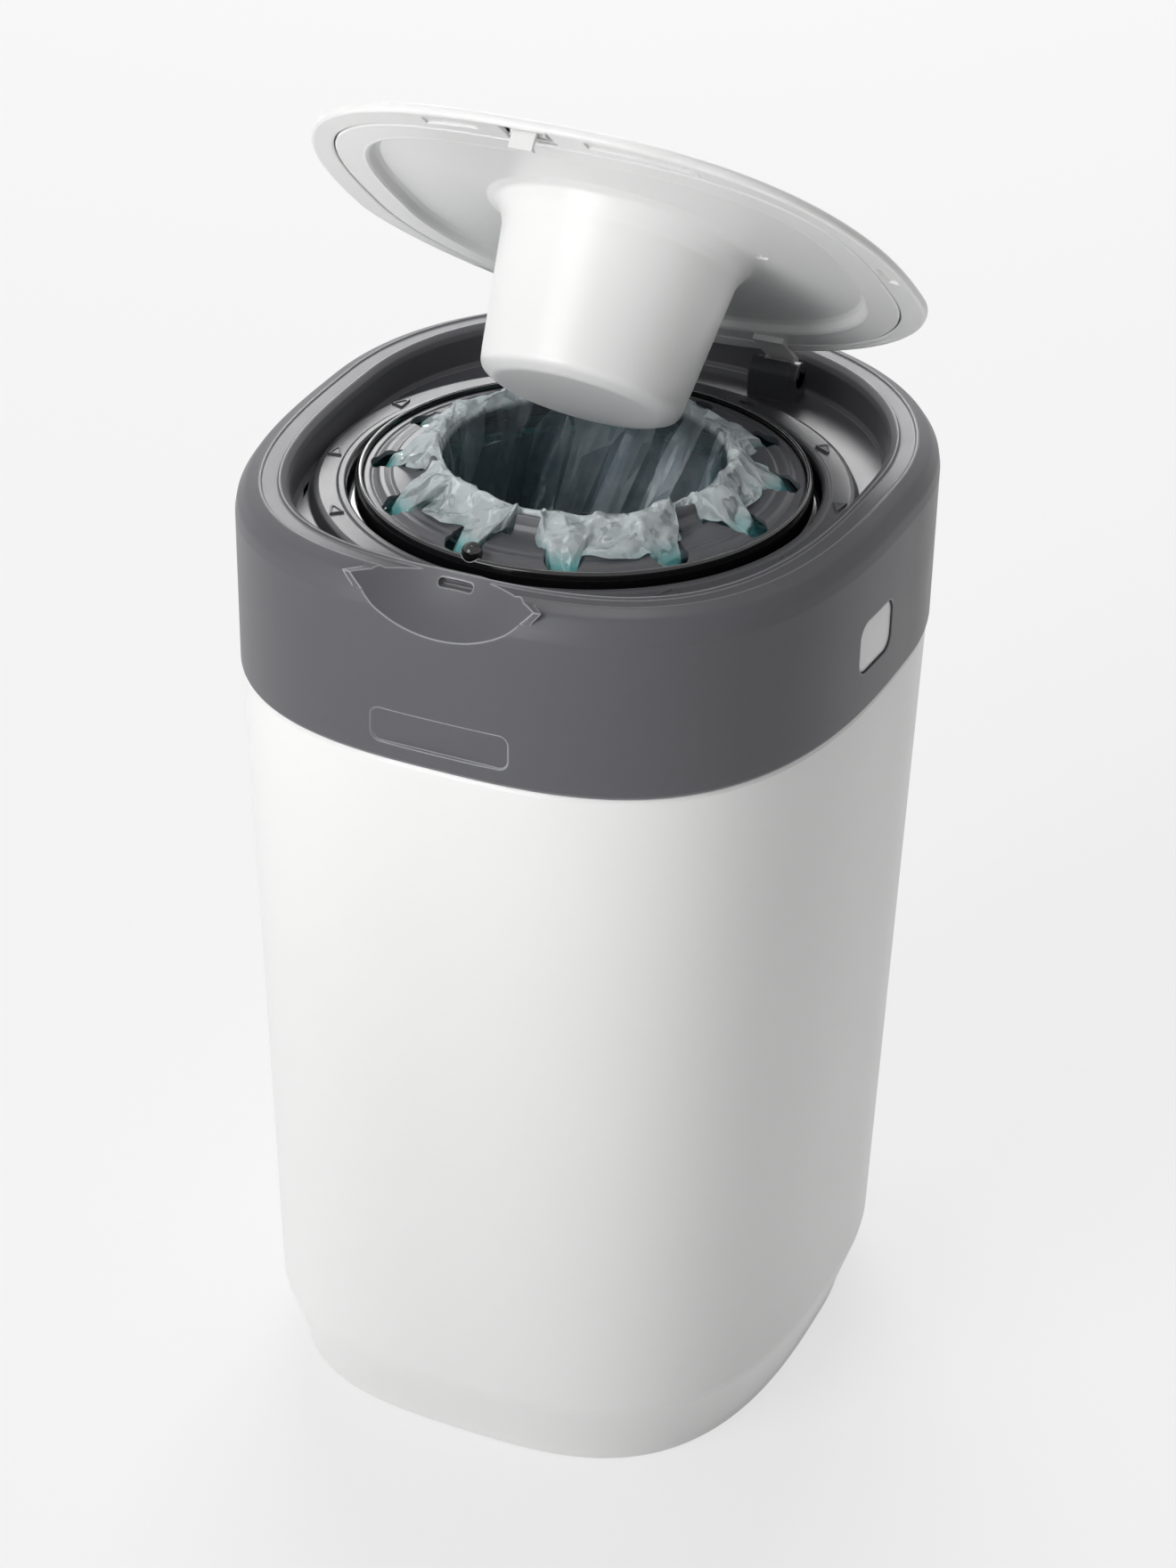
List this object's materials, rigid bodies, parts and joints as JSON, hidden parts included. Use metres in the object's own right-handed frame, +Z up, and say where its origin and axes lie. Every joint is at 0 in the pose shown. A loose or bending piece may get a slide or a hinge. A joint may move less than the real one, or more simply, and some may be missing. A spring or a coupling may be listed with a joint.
{
  "type": "nappy bin",
  "caption": "Tapered nappy bin with a hinged head, a turning film ring over a refill cassette, and an open lid with a plunger cup.",
  "frame": {"origin": "middle of the plan, on the floor", "axes": "-Y towards the front, +X to the right seen from the front, +Z up"},
  "size_m": [0.274, 0.316, 0.6025],
  "materials": {
    "white_plastic": "satin",
    "charcoal_plastic": "satin",
    "dark_plastic": "satin",
    "finger_plastic": "satin",
    "gloss_black_plastic": "gloss",
    "soft_rubber": "matt",
    "tray_plastic": "satin",
    "film": "thin glossy film",
    "liner_plastic": "gloss",
    "button_plastic": "satin",
    "steel": "bright"
  },
  "bodies": {
    "tub_body": {"tub": "white_plastic", "head_hinge_pin": "steel"},
    "head": {"head_collar": "charcoal_plastic", "deck": "charcoal_plastic", "deck_screws": "steel", "cassette_well": "dark_plastic", "well_screws": "steel", "film_grip": "soft_rubber", "click_pawl": "steel", "lid_hinge_pins": "steel", "left_button_spring": "steel", "right_button_spring": "steel"},
    "ring": {"turning_ring": "gloss_black_plastic", "finger_plate": "finger_plastic", "cassette_tray": "tray_plastic", "film_pack": "film", "film": "film"},
    "lid": {"lid_shell": "white_plastic", "lid_liner": "liner_plastic", "lid_catch": "liner_plastic"},
    "left_release": {"left_button": "button_plastic"},
    "right_release": {"right_button": "button_plastic"}
  },
  "joints": [
    {"name": "head_hinge", "type": "hinge", "parent": "tub_body", "child": "head", "pos_m": [0, 0.158, 0.352], "axis": [-1, 0, 0], "range_deg": [0, 88]},
    {"name": "ring_turn", "type": "hinge", "parent": "head", "child": "ring", "pos_m": [0, -0.013, 0.4], "axis": [0, 0, 1], "continuous": true},
    {"name": "lid_hinge", "type": "hinge", "parent": "head", "child": "lid", "pos_m": [0, 0.113, 0.43], "axis": [-1, 0, 0], "range_deg": [-39.5, 40]},
    {"name": "left_button_press", "type": "slide", "parent": "head", "child": "left_release", "axis": [1, 0, 0], "range_m": [0, 0.004], "stiffness_N_per_m": 500, "deforming": ["left_button_spring"]},
    {"name": "right_button_press", "type": "slide", "parent": "head", "child": "right_release", "axis": [-1, 0, 0], "range_m": [0, 0.004], "stiffness_N_per_m": 500, "deforming": ["right_button_spring"]}
  ]
}
